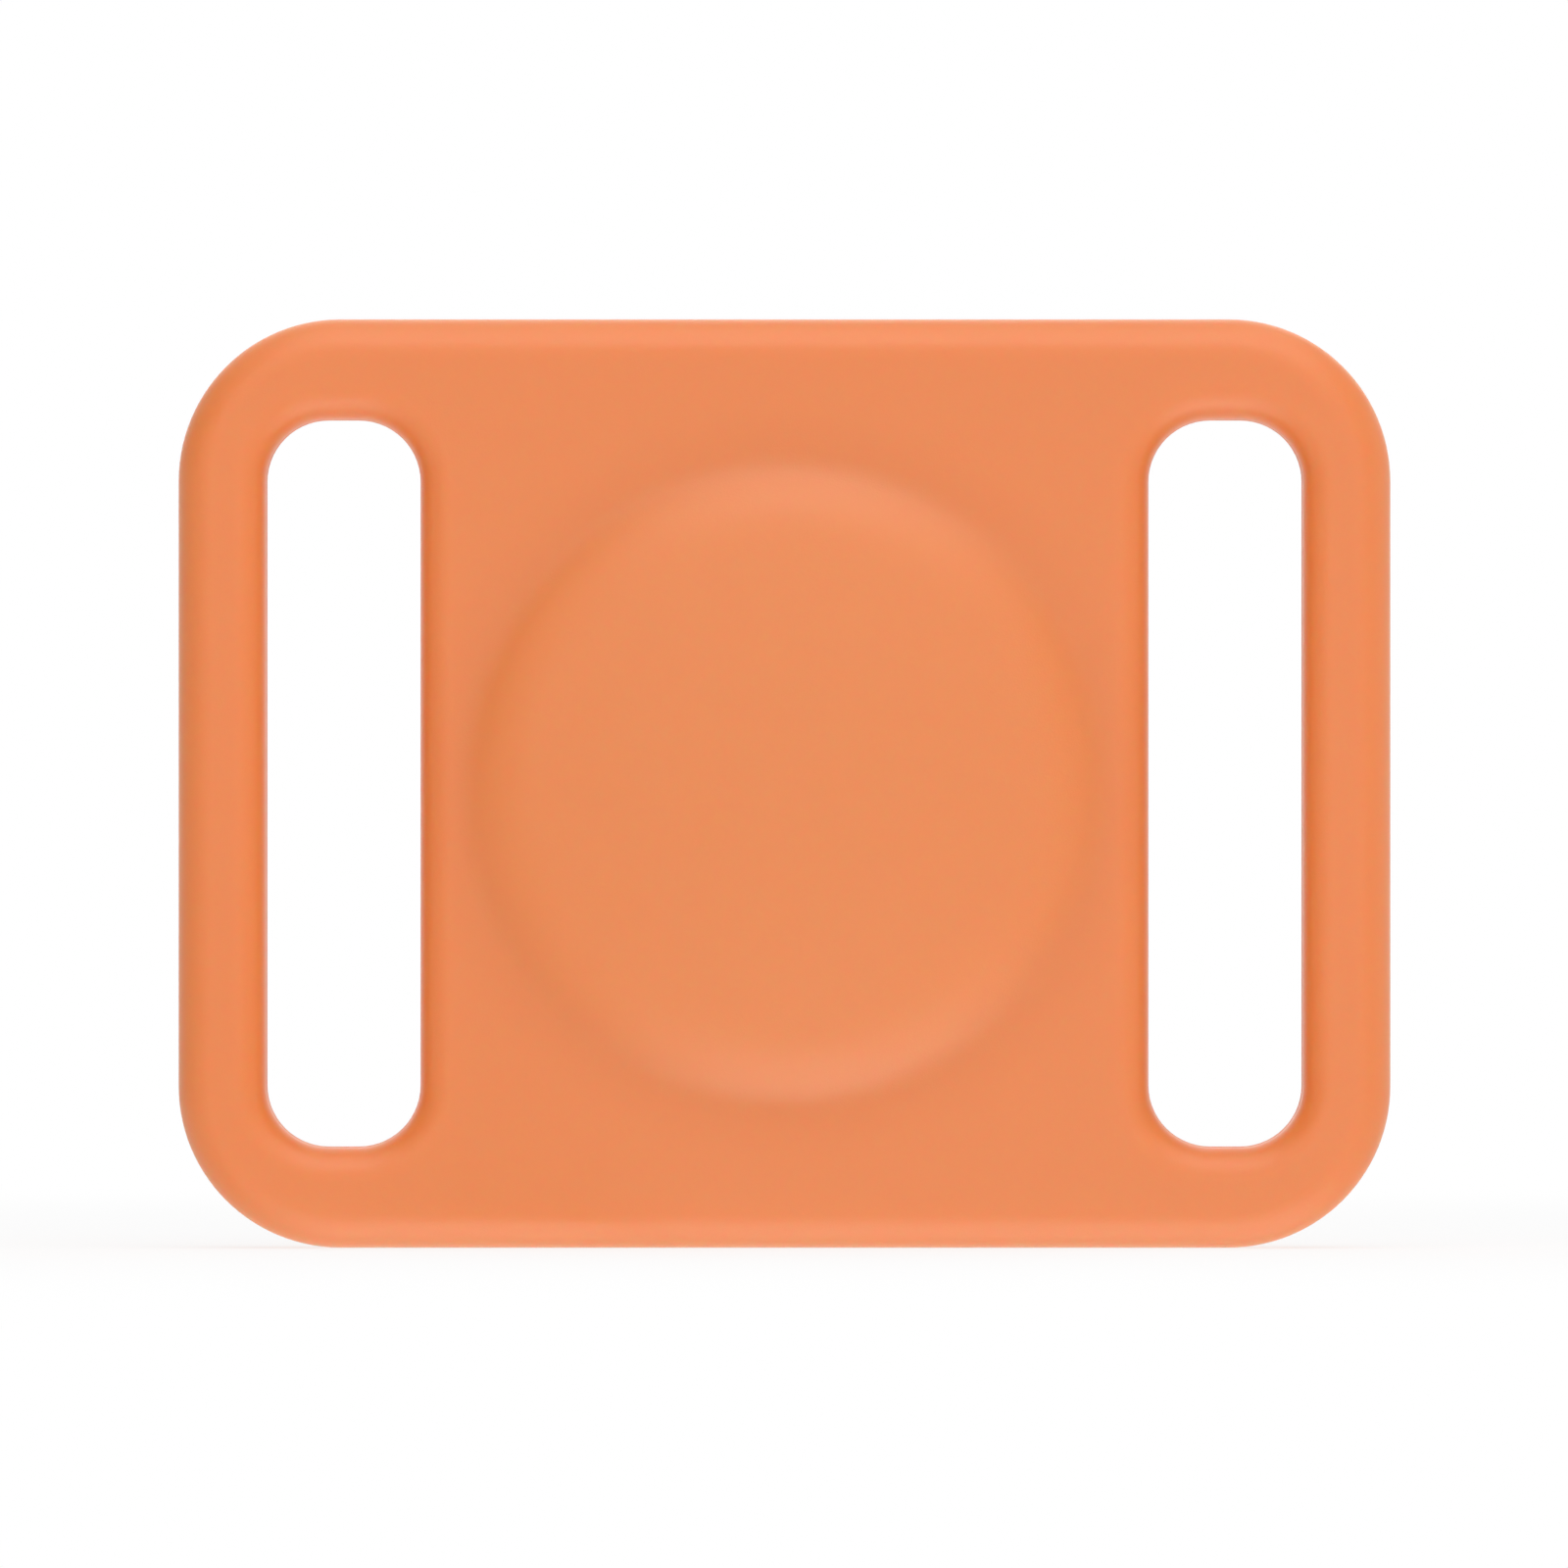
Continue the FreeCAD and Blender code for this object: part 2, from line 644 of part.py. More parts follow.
def make_board():
    front, inner, row = place("board_front"), place("parts_inner"), place("passive_row")
    board = turned_piece("logic_board", rectangle(
        place("board_bore"), place("tray_bore"), place("floor_front"), front))

    shield = new_body("radio_shield")
    can = extrude(shield, "shield_can", [rounded_rectangle(
        inner, f"{inner} + Sizes.shield_length", "-Sizes.shield_width / 2", "Sizes.shield_width / 2",
        size("shield_corner"))], size("shield_height"), lift=front)
    top = value(f"{front} + Sizes.shield_height")
    round_edges(shield, "shield_rounding", can,
                lambda edge: is_level(edge) and edge.BoundBox.ZMin > top - NEAR, size("shield_edge_round"))

    chip = new_body("processor_chip")
    extrude(chip, "chip_block", [rectangle(
        f"-{inner} - Sizes.chip_length", f"-{inner}", "-Sizes.chip_width / 2", "Sizes.chip_width / 2")],
        size("chip_height"), lift=front)

    crystal = new_body("clock_crystal")
    extrude(crystal, "crystal_can", [rectangle(
        "-Sizes.crystal_length / 2", "Sizes.crystal_length / 2", inner, f"{inner} + Sizes.crystal_width")],
        size("crystal_height"), lift=front)

    passives = new_body("board_passives")
    first = "-Sizes.passive_pitch * (Sizes.passive_count - 1) / 2"
    left, right = f"{first} - Sizes.passive_width / 2", f"{first} + Sizes.passive_width / 2"
    row_end = f"{row} + Sizes.passive_length"
    pair = extrude(passives, "passive_pair", [
        rectangle(left, right, row, row_end), rectangle(left, right, f"-({row_end})", f"-{row}"),
    ], size("passive_height"), lift=front)
    repeat_across(passives, pair, size("passive_pitch"), size("passive_count"))
    return [board, *map(stand_in_pocket, (shield, chip, crystal, passives))]


def make_antenna_strips():
    body = new_body("antenna_strips")
    inner, front = place("antenna"), place("floor_front")
    strip = revolve(body, "antenna_strip", rectangle(
        inner, f"{inner} + Sizes.antenna_width", front, f"{front} + Sizes.antenna_thickness"),
        angle=size("antenna_angle"))
    repeat_round(body, strip, size("antenna_count"))
    return stand_in_pocket(body)


def make_speaker():
    yoke, bore, base, front = place("yoke"), place("yoke_bore"), place("floor_front"), place("yoke_front")
    inside, pole = f"{base} + Sizes.yoke_base", place("pole_back")
    return [
        turned_piece("speaker_yoke", [
            ("0", base), (yoke, base), (yoke, front), (bore, front), (bore, inside), ("0", inside),
        ]),
        turned_piece("speaker_magnet", rectangle("0", place("magnet"), inside, pole)),
        turned_piece("pole_plate", rectangle("0", place("magnet"), pole, front)),
        turned_piece("voice_coil", rectangle(
            place("coil_bore"), place("coil"), f"{front} - Sizes.coil_dip", place("coil_front"))),
    ]


def write_pieces(pieces):
    """Writes each piece's solids, once the whole document is known to be sound."""
    doc.recompute()
    failed = [item.Name for item in doc.Objects if {"Invalid", "Error"} & set(item.State)]
    failed += [piece.Label for piece in pieces if piece.Shape.isNull() or not piece.Shape.isValid()]
    if failed:
        raise RuntimeError(f"not built: {', '.join(failed)}")
    os.makedirs("parts", exist_ok=True)
    for piece in pieces:
        piece.Shape.exportStep(f"parts/{piece.Label}.step")
        print(f"{piece.Label}: {len(piece.Shape.Solids)} solids, {piece.Shape.Volume:.2f} mm3")


write_pieces([
    make_holder_body(),
    make_retaining_lip(),
    make_tag_front_shell(),
    make_tag_back_ring(),
    make_battery_tray(),
    make_cover_seal(),
    make_battery_cover(),
    make_cover_insert(),
    *make_cell(),
    *make_contacts(),
    *make_board(),
    make_antenna_strips(),
    *make_speaker(),
])
width, height = (2 * value(place(half)) for half in ("half_width", "half_height"))
depth, plate = (value(place(front)) for front in ("holder_front", "plate_front"))
print(f"holder {width:.2f} x {height:.2f} x {depth:.2f} mm, plate {plate:.2f} mm")
print(f"tag {2 * value(place('tag')):.2f} x {value(place('tag_front')):.2f} mm")
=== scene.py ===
import json
import math
import bmesh
import bpy
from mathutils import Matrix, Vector


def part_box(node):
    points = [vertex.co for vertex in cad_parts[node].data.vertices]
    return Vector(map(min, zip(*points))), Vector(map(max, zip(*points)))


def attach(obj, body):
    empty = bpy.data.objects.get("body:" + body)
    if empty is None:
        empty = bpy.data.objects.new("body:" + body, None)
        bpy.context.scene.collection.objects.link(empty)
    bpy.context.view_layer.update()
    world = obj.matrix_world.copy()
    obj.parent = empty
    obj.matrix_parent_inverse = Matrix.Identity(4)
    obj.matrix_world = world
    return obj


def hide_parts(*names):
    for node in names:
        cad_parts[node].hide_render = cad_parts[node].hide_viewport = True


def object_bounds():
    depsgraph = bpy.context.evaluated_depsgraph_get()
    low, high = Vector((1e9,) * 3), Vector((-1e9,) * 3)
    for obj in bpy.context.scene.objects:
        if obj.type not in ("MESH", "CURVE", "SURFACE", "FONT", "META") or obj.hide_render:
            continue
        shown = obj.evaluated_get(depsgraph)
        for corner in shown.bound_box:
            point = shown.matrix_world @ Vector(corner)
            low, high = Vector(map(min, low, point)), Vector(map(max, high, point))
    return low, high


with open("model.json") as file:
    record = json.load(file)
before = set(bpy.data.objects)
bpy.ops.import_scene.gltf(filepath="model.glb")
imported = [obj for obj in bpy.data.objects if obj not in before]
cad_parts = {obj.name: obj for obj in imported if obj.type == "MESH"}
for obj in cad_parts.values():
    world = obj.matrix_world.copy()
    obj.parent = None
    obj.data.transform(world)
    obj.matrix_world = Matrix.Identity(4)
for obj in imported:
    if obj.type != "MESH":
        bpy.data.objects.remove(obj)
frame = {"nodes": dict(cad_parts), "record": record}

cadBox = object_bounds()
nodes = frame["nodes"]

mm = 0.001
near = 1e-6                     # metres: closer than this is the same place
sharpAngle = math.radians(40)   # faces that turn by more than this meet at an edge


# Modelling helpers: each works on one piece by operators

def startFresh():
    if bpy.context.object and bpy.context.object.mode != "OBJECT":
        bpy.ops.object.mode_set(mode="OBJECT")
    bpy.ops.object.select_all(action="DESELECT")


def makeActive(piece):
    startFresh()
    piece.select_set(True)
    bpy.context.view_layer.objects.active = piece


def openMesh(piece):
    makeActive(piece)
    bpy.ops.object.mode_set(mode="EDIT")
    bpy.ops.mesh.select_all(action="DESELECT")


def closeMesh():
    bpy.ops.object.mode_set(mode="OBJECT")


def pick(piece, kind, test):   # kind is verts, edges or faces
    bpy.ops.mesh.select_all(action="DESELECT")
    bpy.ops.mesh.select_mode(type={"verts": "VERT", "edges": "EDGE", "faces": "FACE"}[kind])
    mesh = bmesh.from_edit_mesh(piece.data)
    found = [item for item in getattr(mesh, kind) if test(item)]
    for item in found:
        item.select_set(True)
    mesh.select_flush_mode()
    bmesh.update_edit_mesh(piece.data)


def sewUp(distance=near):   # merges doubles, drops loose bits and turns every face outwards
    bpy.ops.mesh.select_all(action="SELECT")
    bpy.ops.mesh.remove_doubles(threshold=distance)
    bpy.ops.mesh.delete_loose(use_verts=True, use_edges=True, use_faces=False)
    bpy.ops.mesh.select_all(action="SELECT")
    bpy.ops.mesh.normals_make_consistent(inside=False)


def roundOff(offset, steps):   # bevels the picked edges
    bpy.ops.mesh.bevel(offset=offset, segments=steps, profile=0.5, affect="EDGES", clamp_overlap=False)


def applyModifier(piece, name, kind, **settings):
    makeActive(piece)
    change = piece.modifiers.new(name, kind)
    for key, value in settings.items():
        setattr(change, key, value)
    bpy.ops.object.modifier_apply(modifier=change.name)


def cutAway(piece, cutter):
    applyModifier(piece, "cut", "BOOLEAN", operation="DIFFERENCE", solver="EXACT", object=cutter)
    bpy.data.objects.remove(cutter)


def roundedBlock(name, size, corner, steps, across=0.0, back=0.0):
    # stands in XZ: its corners are rounded as a flat face, which is then pulled forward to its depth
    width, depth, height = size
    startFresh()
    bpy.ops.mesh.primitive_plane_add(size=1, location=(across, back, 0), rotation=(math.pi / 2, 0, 0))
    block = bpy.context.object
    block.name = block.data.name = name
    block.scale = (width, height, 1)
    bpy.ops.object.transform_apply(location=True, rotation=True, scale=True)
    openMesh(block)
    bpy.ops.mesh.select_all(action="SELECT")
    bpy.ops.mesh.bevel(offset=corner, segments=steps, profile=0.5, affect="VERTICES", clamp_overlap=False)
    bpy.ops.mesh.select_all(action="SELECT")
    bpy.ops.mesh.extrude_region_move(TRANSFORM_OT_translate={"value": (0, -depth, 0)})
    sewUp()
    closeMesh()
    return block


def arcPoints(middle, radius, start, end, steps):   # angles in radians, from the radius towards the front
    turns = [start + (end - start) * step / steps for step in range(steps + 1)]
    return [(middle[0] + radius * math.cos(turn), middle[1] + radius * math.sin(turn)) for turn in turns]


def angleTo(middle, point):
    return math.atan2(point[1] - middle[1], point[0] - middle[0])


def arcBetween(middle, first, last, steps):
    start, end = angleTo(middle, first), angleTo(middle, last)
    return arcPoints(middle, math.dist(middle, first), start, end, steps)


def spunShape(name, outline, steps):
    # outline holds (distance from the axis, depth in front of the back), drawn by extruding one point
    startFresh()
    radius, depth = outline[0]
    bpy.ops.mesh.primitive_plane_add(size=mm, location=(radius, -depth, 0))
    shape = bpy.context.object
    shape.name = shape.data.name = name
    bpy.ops.object.transform_apply(location=True, rotation=True, scale=True)
    openMesh(shape)
    bpy.ops.mesh.select_all(action="SELECT")
    bpy.ops.mesh.merge(type="CENTER")
    for (radius, depth), (nextRadius, nextDepth) in zip(outline, outline[1:]):
        step = (nextRadius - radius, depth - nextDepth, 0)
        bpy.ops.mesh.extrude_region_move(TRANSFORM_OT_translate={"value": step})
    bpy.ops.mesh.select_all(action="SELECT")
    bpy.ops.mesh.spin(steps=steps, angle=2 * math.pi, center=(0, 0, 0), axis=(0, 1, 0))
    sewUp()
    closeMesh()
    return shape


def smoothOver(piece):   # smooth shading, with flat faces kept flat
    makeActive(piece)
    bpy.ops.object.shade_smooth_by_angle(angle=sharpAngle)
    applyModifier(piece, "flatFaces", "WEIGHTED_NORMAL", mode="FACE_AREA", weight=100, keep_sharp=True)


def settle(piece, body, slot, *replaced):
    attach(piece, body)
    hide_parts(*replaced)
    print(piece.name, "rides on", body, "with", len(piece.data.polygons), "faces")


# The tag's rounded side, which its shell and the holder's pocket share

tag = {
    "radius": 15.95 * mm,
    "thickness": 8.0 * mm,
    "crownRise": 1.1 * mm,        # front above its rounded edge
    "rimSetback": 0.5 * mm,       # back of the tag to the rim of its shell
    "recess": 0.4 * mm,           # back of the tag in front of the holder's back
    "wall": 0.9 * mm,
    "mouth": 13.05 * mm,
    "seam": 0.06 * mm,            # fine groove where the two halves of the shell meet
    "mouthRound": 0.12 * mm,
    "mouthSteps": 5,
    "edgeSteps": 20,
    "crownSteps": 16,
    "steps": 160,
}
tagFront = tag["thickness"] + tag["recess"]
tagEdge = (tag["thickness"] - tag["crownRise"] - tag["rimSetback"]) / 2
tagWidest = tagEdge + tag["rimSetback"] + tag["recess"]
edgeMiddle = (tag["radius"] - tagEdge, tagWidest)
crownRadius = (edgeMiddle[0] ** 2 + (tagFront - tagWidest) ** 2 - tagEdge ** 2) / (2 * tag["crownRise"])
crownMiddle = (0.0, tagFront - crownRadius)
meetTurn = angleTo(crownMiddle, edgeMiddle)   # where the edge runs into the crown


def tagSide(grow):   # from the widest ring forward to the axis
    edge = arcPoints(edgeMiddle, tagEdge + grow, 0, meetTurn, tag["edgeSteps"])
    crown = arcPoints(crownMiddle, crownRadius + grow, meetTurn, math.pi / 2, tag["crownSteps"])
    return edge + crown[1:]


# Holder: plate, two strap slots, dome, pocket and lip in one soft moulding

holder = {
    "width": 64.0 * mm,
    "height": 49.0 * mm,
    "plate": 7.4 * mm,
    "corner": 8.5 * mm,
    "cornerSteps": 28,
    "edgeRound": 1.8 * mm,
    "roundSteps": 12,
    "slotInner": 19.2 * mm,
    "slotWidth": 8.2 * mm,
    "slotLength": 38.5 * mm,
    "slotCorner": 3.3 * mm,
    "slotCornerSteps": 14,
    "slotRound": 1.6 * mm,
    "domeFoot": 17.55 * mm,
    "domeRise": 2.2 * mm,
    "crown": 95.0 * mm,
    "crownSteps": 24,
    "shoulder": 9.0 * mm,
    "shoulderSteps": 18,
    "root": 3.2 * mm,
    "rootSteps": 12,
    "pocketRoom": 0.1 * mm,
    "lipOpening": 13.2 * mm,
    "lipRound": 0.3 * mm,
    "lipSteps": 20,
    "lipRoundSteps": 6,
    "partingDepth": 3.7 * mm,     # where the two halves of the mould met
    "partingWidth": 0.14 * mm,
    "partingRise": 0.05 * mm,
    "partingSteps": 2,
    "steps": 192,
}


def domeOutline():   # from the foot on the plate to the axis: three tangent arcs
    foot, plate, front = holder["domeFoot"], holder["plate"], holder["plate"] + holder["domeRise"]
    crown, shoulder, root = holder["crown"], holder["shoulder"], holder["root"]
    crownMid, rootMid = (0.0, front - crown), (foot, plate + root)
    span, reach, gap = math.dist(crownMid, rootMid), crown - shoulder, shoulder + root
    along = (reach ** 2 - gap ** 2 + span ** 2) / (2 * span)
    aside = math.sqrt(reach ** 2 - along ** 2)
    across, up = (rootMid[0] - crownMid[0]) / span, (rootMid[1] - crownMid[1]) / span
    shoulderMid = (along * across - aside * up, crownMid[1] + along * up + aside * across)
    meetsRoot = tuple(s + (r - s) * shoulder / gap for s, r in zip(shoulderMid, rootMid))
    meetsCrown = tuple(c + (s - c) * crown / reach for c, s in zip(crownMid, shoulderMid))
    rootArc = arcBetween(rootMid, (foot, plate), meetsRoot, holder["rootSteps"])
    shoulderArc = arcBetween(shoulderMid, meetsRoot, meetsCrown, holder["shoulderSteps"])
    crownArc = arcBetween(crownMid, meetsCrown, (0.0, front), holder["crownSteps"])
    return rootArc + shoulderArc[1:] + crownArc[1:]


def pocketOutline():   # from the axis back to the lip, round its edge and out over the back
    curl, edge = holder["lipRound"], tagEdge + holder["pocketRoom"]
    curlAcross = holder["lipOpening"] + curl
    lipTurn = -math.acos((curlAcross - edgeMiddle[0]) / (edge + curl))
    curlMid = (curlAcross, edgeMiddle[1] + (edge + curl) * math.sin(lipTurn))
    front = list(reversed(tagSide(holder["pocketRoom"])))
    inner = arcPoints(edgeMiddle, edge, 0, lipTurn, holder["lipSteps"])
    nose = arcPoints(curlMid, curl, lipTurn + math.pi, math.pi, holder["lipRoundSteps"])
    tail = arcPoints((curlAcross, curl), curl, math.pi, 1.5 * math.pi, holder["lipRoundSteps"])
    return front + inner[1:] + nose[1:] + tail + [(holder["domeFoot"], 0.0)]


def cutPlate():
    plate = roundedBlock("holderMoulding", (holder["width"], holder["plate"], holder["height"]),
                         holder["corner"], holder["cornerSteps"])
    slotMiddle = holder["slotInner"] + holder["slotWidth"] / 2
    through = 3 * holder["plate"]   # a cutter reaches past both faces
    for side in (-1, 1):
        cutAway(plate, roundedBlock(
            "slotCutter", (holder["slotWidth"], through, holder["slotLength"]), holder["slotCorner"],
            holder["slotCornerSteps"], across=side * slotMiddle, back=holder["plate"]))
    startFresh()
    bpy.ops.mesh.primitive_cylinder_add(
        vertices=holder["steps"], radius=holder["domeFoot"], depth=through, rotation=(math.pi / 2, 0, 0))
    bpy.ops.object.transform_apply(location=True, rotation=True, scale=True)
    cutAway(plate, bpy.context.object)
    print("plate cut out:", len(plate.data.polygons), "faces")
    return plate


def finishPlate(plate):
    slotOuter, halfSlot = holder["slotInner"] + holder["slotWidth"], holder["slotLength"] / 2
    partingPlace = -holder["partingDepth"]
    upright = 0.01   # a wall's normal has less than this along Y

    def fromAxis(point):
        return math.hypot(point.x, point.z)

    def isMiddleWall(face):
        spot = face.calc_center_median()
        return abs(face.normal.y) < upright and fromAxis(spot) < holder["domeFoot"] + near

    def isSharp(edge):   # a wall meets the front or the back here
        return len(edge.link_faces) == 2 and edge.calc_face_angle() > sharpAngle and all(
            min(abs(vert.co.y), abs(vert.co.y + holder["plate"])) < near for vert in edge.verts)

    def isOnSlot(edge):
        spot = (edge.verts[0].co + edge.verts[1].co) / 2
        isAcross = holder["slotInner"] - near < abs(spot.x) < slotOuter + near
        return isAcross and abs(spot.z) < halfSlot + near

    def isAtParting(vert):
        return abs(vert.co.y - partingPlace) < near

    openMesh(plate)
    pick(plate, "faces", isMiddleWall)   # the cup with the dome and the pocket goes in here
    bpy.ops.mesh.delete(type="FACE")
    pick(plate, "edges", lambda edge: isSharp(edge) and isOnSlot(edge))
    roundOff(holder["slotRound"], holder["roundSteps"])
    pick(plate, "edges", isSharp)
    roundOff(holder["edgeRound"], holder["roundSteps"])
    bpy.ops.mesh.select_all(action="SELECT")
    bpy.ops.mesh.bisect(plane_co=(0, partingPlace, 0), plane_no=(0, 1, 0))
    pick(plate, "edges", lambda edge: all(map(isAtParting, edge.verts)))
    roundOff(holder["partingWidth"], holder["partingSteps"])
    pick(plate, "verts", isAtParting)
    bpy.ops.transform.shrink_fatten(value=holder["partingRise"])
    closeMesh()


def makeHolder():
    plate = cutPlate()
    finishPlate(plate)
    cup = spunShape("cup", domeOutline() + pocketOutline(), holder["steps"])
    makeActive(plate)
    cup.select_set(True)
    bpy.ops.object.join()
    openMesh(plate)
    sewUp(2 * near)   # the cup's rims meet the plate's
    closeMesh()
    smoothOver(plate)
    return plate


holderPiece = makeHolder()
settle(holderPiece, "holder", "silicone", "holder_body", "retaining_lip")


# Tag: white shell in two halves and a steel cover, each a thin turned shell

cover = {
    "radius": 12.9 * mm,
    "drop": 0.45 * mm,            # rim in front of the middle
    "sheet": 0.35 * mm,
    "skirtEnd": 1.3 * mm,
    "edgeRound": 0.25 * mm,
    "roundSteps": 6,
    "dishSteps": 20,
}


def makeFrontShell():
    outside, inside = tagSide(0.0), tagSide(-tag["wall"])
    seam = [(tag["radius"] - tag["seam"], tagWidest), (tag["radius"], tagWidest + tag["seam"])]
    outline = seam + outside[1:] + list(reversed(inside)) + seam[:1]
    shell = spunShape("tagFrontShell", outline, tag["steps"])
    smoothOver(shell)
    return shell


def makeBackRing():
    inner = tagEdge - tag["wall"]
    mouth, curl = tag["mouth"], tag["mouthRound"]
    outerTurn = -math.acos((mouth + curl - edgeMiddle[0]) / (tagEdge - curl))
    innerTurn = -math.acos((mouth - edgeMiddle[0]) / inner)
    curlMid = (mouth + curl, edgeMiddle[1] + (tagEdge - curl) * math.sin(outerTurn))
    rim = arcPoints(curlMid, curl, -math.pi, outerTurn, tag["mouthSteps"])
    side = arcPoints(edgeMiddle, tagEdge, outerTurn, 0, tag["edgeSteps"])
    lining = arcPoints(edgeMiddle, inner, 0, innerTurn, tag["edgeSteps"])
    seam = [(tag["radius"], tagWidest - tag["seam"]), (tag["radius"] - tag["seam"], tagWidest)]
    outline = rim + side[1:-1] + seam + lining + rim[:1]
    ring = spunShape("tagBackRing", outline, tag["steps"])
    smoothOver(ring)
    return ring


def makeCover():
    radius, sheet, curl, back = cover["radius"], cover["sheet"], cover["edgeRound"], tag["recess"]
    sphere = (radius ** 2 + cover["drop"] ** 2) / (2 * cover["drop"])
    dishMid = (0.0, back + sphere)
    rimTurn = -math.acos((radius - curl) / (sphere - curl))
    curlMid = (radius - curl, dishMid[1] + (sphere - curl) * math.sin(rimTurn))
    insideTurn = -math.acos((radius - sheet) / (sphere - sheet))
    dish = arcPoints(dishMid, sphere, -math.pi / 2, rimTurn, cover["dishSteps"])
    rim = arcPoints(curlMid, curl, rimTurn, 0, cover["roundSteps"])
    skirt = [(radius, back + cover["skirtEnd"]), (radius - sheet, back + cover["skirtEnd"])]
    inside = arcPoints(dishMid, sphere - sheet, insideTurn, -math.pi / 2, cover["dishSteps"])
    piece = spunShape("steelCover", dish + rim[1:] + skirt + inside, tag["steps"])
    smoothOver(piece)
    return piece


frontShell, backRing, coverPiece = makeFrontShell(), makeBackRing(), makeCover()
settle(frontShell, "tag", "white_shell", "tag_front_shell")
settle(backRing, "tag", "white_shell", "tag_back_ring")
settle(coverPiece, "cover", "polished_steel", "battery_cover")


# Shader maths: a wire is one socket, and sums of wires add their own nodes

def findSocket(sockets, key):
    if isinstance(key, int):
        return sockets[key]
    return next(socket for socket in sockets if key in (socket.identifier, socket.name))


class Wire:
    def __init__(self, look, socket):
        self.look, self.socket = look, socket

    def __add__(self, other):
        return self.look.sum("ADD", self, other)

    def __sub__(self, other):
        return self.look.sum("SUBTRACT", self, other)

    def __mul__(self, other):
        return self.look.sum("MULTIPLY", self, other)

    def __truediv__(self, other):
        return self.look.sum("DIVIDE", self, other)

    def __radd__(self, other):
        return self.look.sum("ADD", other, self)

    def __rsub__(self, other):
        return self.look.sum("SUBTRACT", other, self)

    def __rmul__(self, other):
        return self.look.sum("MULTIPLY", other, self)

    def __rtruediv__(self, other):
        return self.look.sum("DIVIDE", other, self)

    def __abs__(self):
        return self.look.sum("ABSOLUTE", self)


class Look:
    def __init__(self, owner):
        owner.use_nodes = True
        self.owner, self.tree = owner, owner.node_tree
        self.tree.nodes.clear()

    def add(self, kind, settings=None, sockets=None, out=0):
        node = self.tree.nodes.new(kind)
        for key, value in (settings or {}).items():
            setattr(node, key, value)
        for key, value in (sockets or {}).items():
            socket = findSocket(node.inputs, key)
            if isinstance(value, Wire):
                self.tree.links.new(value.socket, socket)
            else:
                socket.default_value = value
        return Wire(self, findSocket(node.outputs, out)) if node.outputs else node

    def sum(self, operation, *terms):
        return self.add("ShaderNodeMath", {"operation": operation}, dict(enumerate(terms)))

    def place(self):
        return self.add("ShaderNodeTexCoord", out="Object")

    def along(self, axis):
        return self.add("ShaderNodeSeparateXYZ", sockets={"Vector": self.place()}, out=axis)

    def fromAxis(self):   # distance from the tag's axis
        across, up = self.along("X"), self.along("Z")
        return self.sum("SQRT", across * across + up * up)

    def stretched(self, longer, turn=0.0):   # turned about the tag's axis, then drawn out along each axis
        return self.add("ShaderNodeMapping", {"vector_type": "TEXTURE"}, {
            "Vector": self.place(), "Rotation": (0.0, turn, 0.0), "Scale": longer})

    def noise(self, grain, detail=2.0, rough=0.5, vector=None):   # grain is its size in metres
        return self.add("ShaderNodeTexNoise", sockets={
            "Vector": vector or self.place(), "Scale": 1 / grain, "Detail": detail, "Roughness": rough})

    def between(self, low, high, value):   # 0 below low, 1 above high, smooth in between
        return self.add("ShaderNodeMapRange", {"interpolation_type": "SMOOTHSTEP"}, {
            "Value": value, "From Min": low, "From Max": high})

    def blend(self, share, first, second):
        return self.add("ShaderNodeMix", {"data_type": "RGBA"}, {
            "Factor_Float": share, "A_Color": first, "B_Color": second}, out="Result_Color")

    def bump(self, height, depth):
        return self.add("ShaderNodeBump", sockets={
            "Height": height, "Distance": depth, "Strength": 1.0}, out="Normal")

    def surface(self, **sockets):
        shader = self.add("ShaderNodeBsdfPrincipled", sockets={
            key.replace("_", " "): value for key, value in sockets.items()})
        self.add("ShaderNodeOutputMaterial", sockets={"Surface": shader})
        return self.owner


def newLook(name):
    return Look(bpy.data.materials.new(name))


def tone(red, green, blue):
    return (red, green, blue, 1.0)


def swing(noise):   # noise lies about one half, its swing about zero
    return noise - 0.5


# Finishes: each has its values, then its nodes

silicone = {
    "deep": tone(0.760, 0.223, 0.051),
    "pale": tone(0.790, 0.245, 0.060),
    "drift": 16 * mm,                    # slow change of the pigment
    "peel": 1.1 * mm,                    # faint unevenness of the skin
    "grain": 0.10 * mm,                  # spark-eroded texture of the mould
    "depth": 0.012 * mm,                 # of the skin's relief
    "rough": 0.42,
    "driftRough": 0.10,
    "grainRough": 0.12,
    "gloss": 0.70,
    "index": 1.5,
    "scatter": (1.0, 0.22, 0.08),        # red goes furthest
    "scatterDepth": 1.8 * mm,
    "scatterShare": 0.9,
    "thin": (16.5 * mm, 14.5 * mm),      # from the axis: paler where the skin is thin over the white tag
    "paintedShadeRing": (20.5 * mm, 17.2 * mm),    # from the axis: painted shade round the foot of the dome
    "paintedShadeRingEnd": (15.5 * mm, 17.2 * mm),
    "frontOnly": (-4.5 * mm, -6.5 * mm),
    "tint": {"even": 0.25, "drift": 0.30, "grain": 0.20, "thin": 0.5, "paintedShadeRing": 0.5},
    "relief": {"grain": 0.7, "peel": 0.3},
}


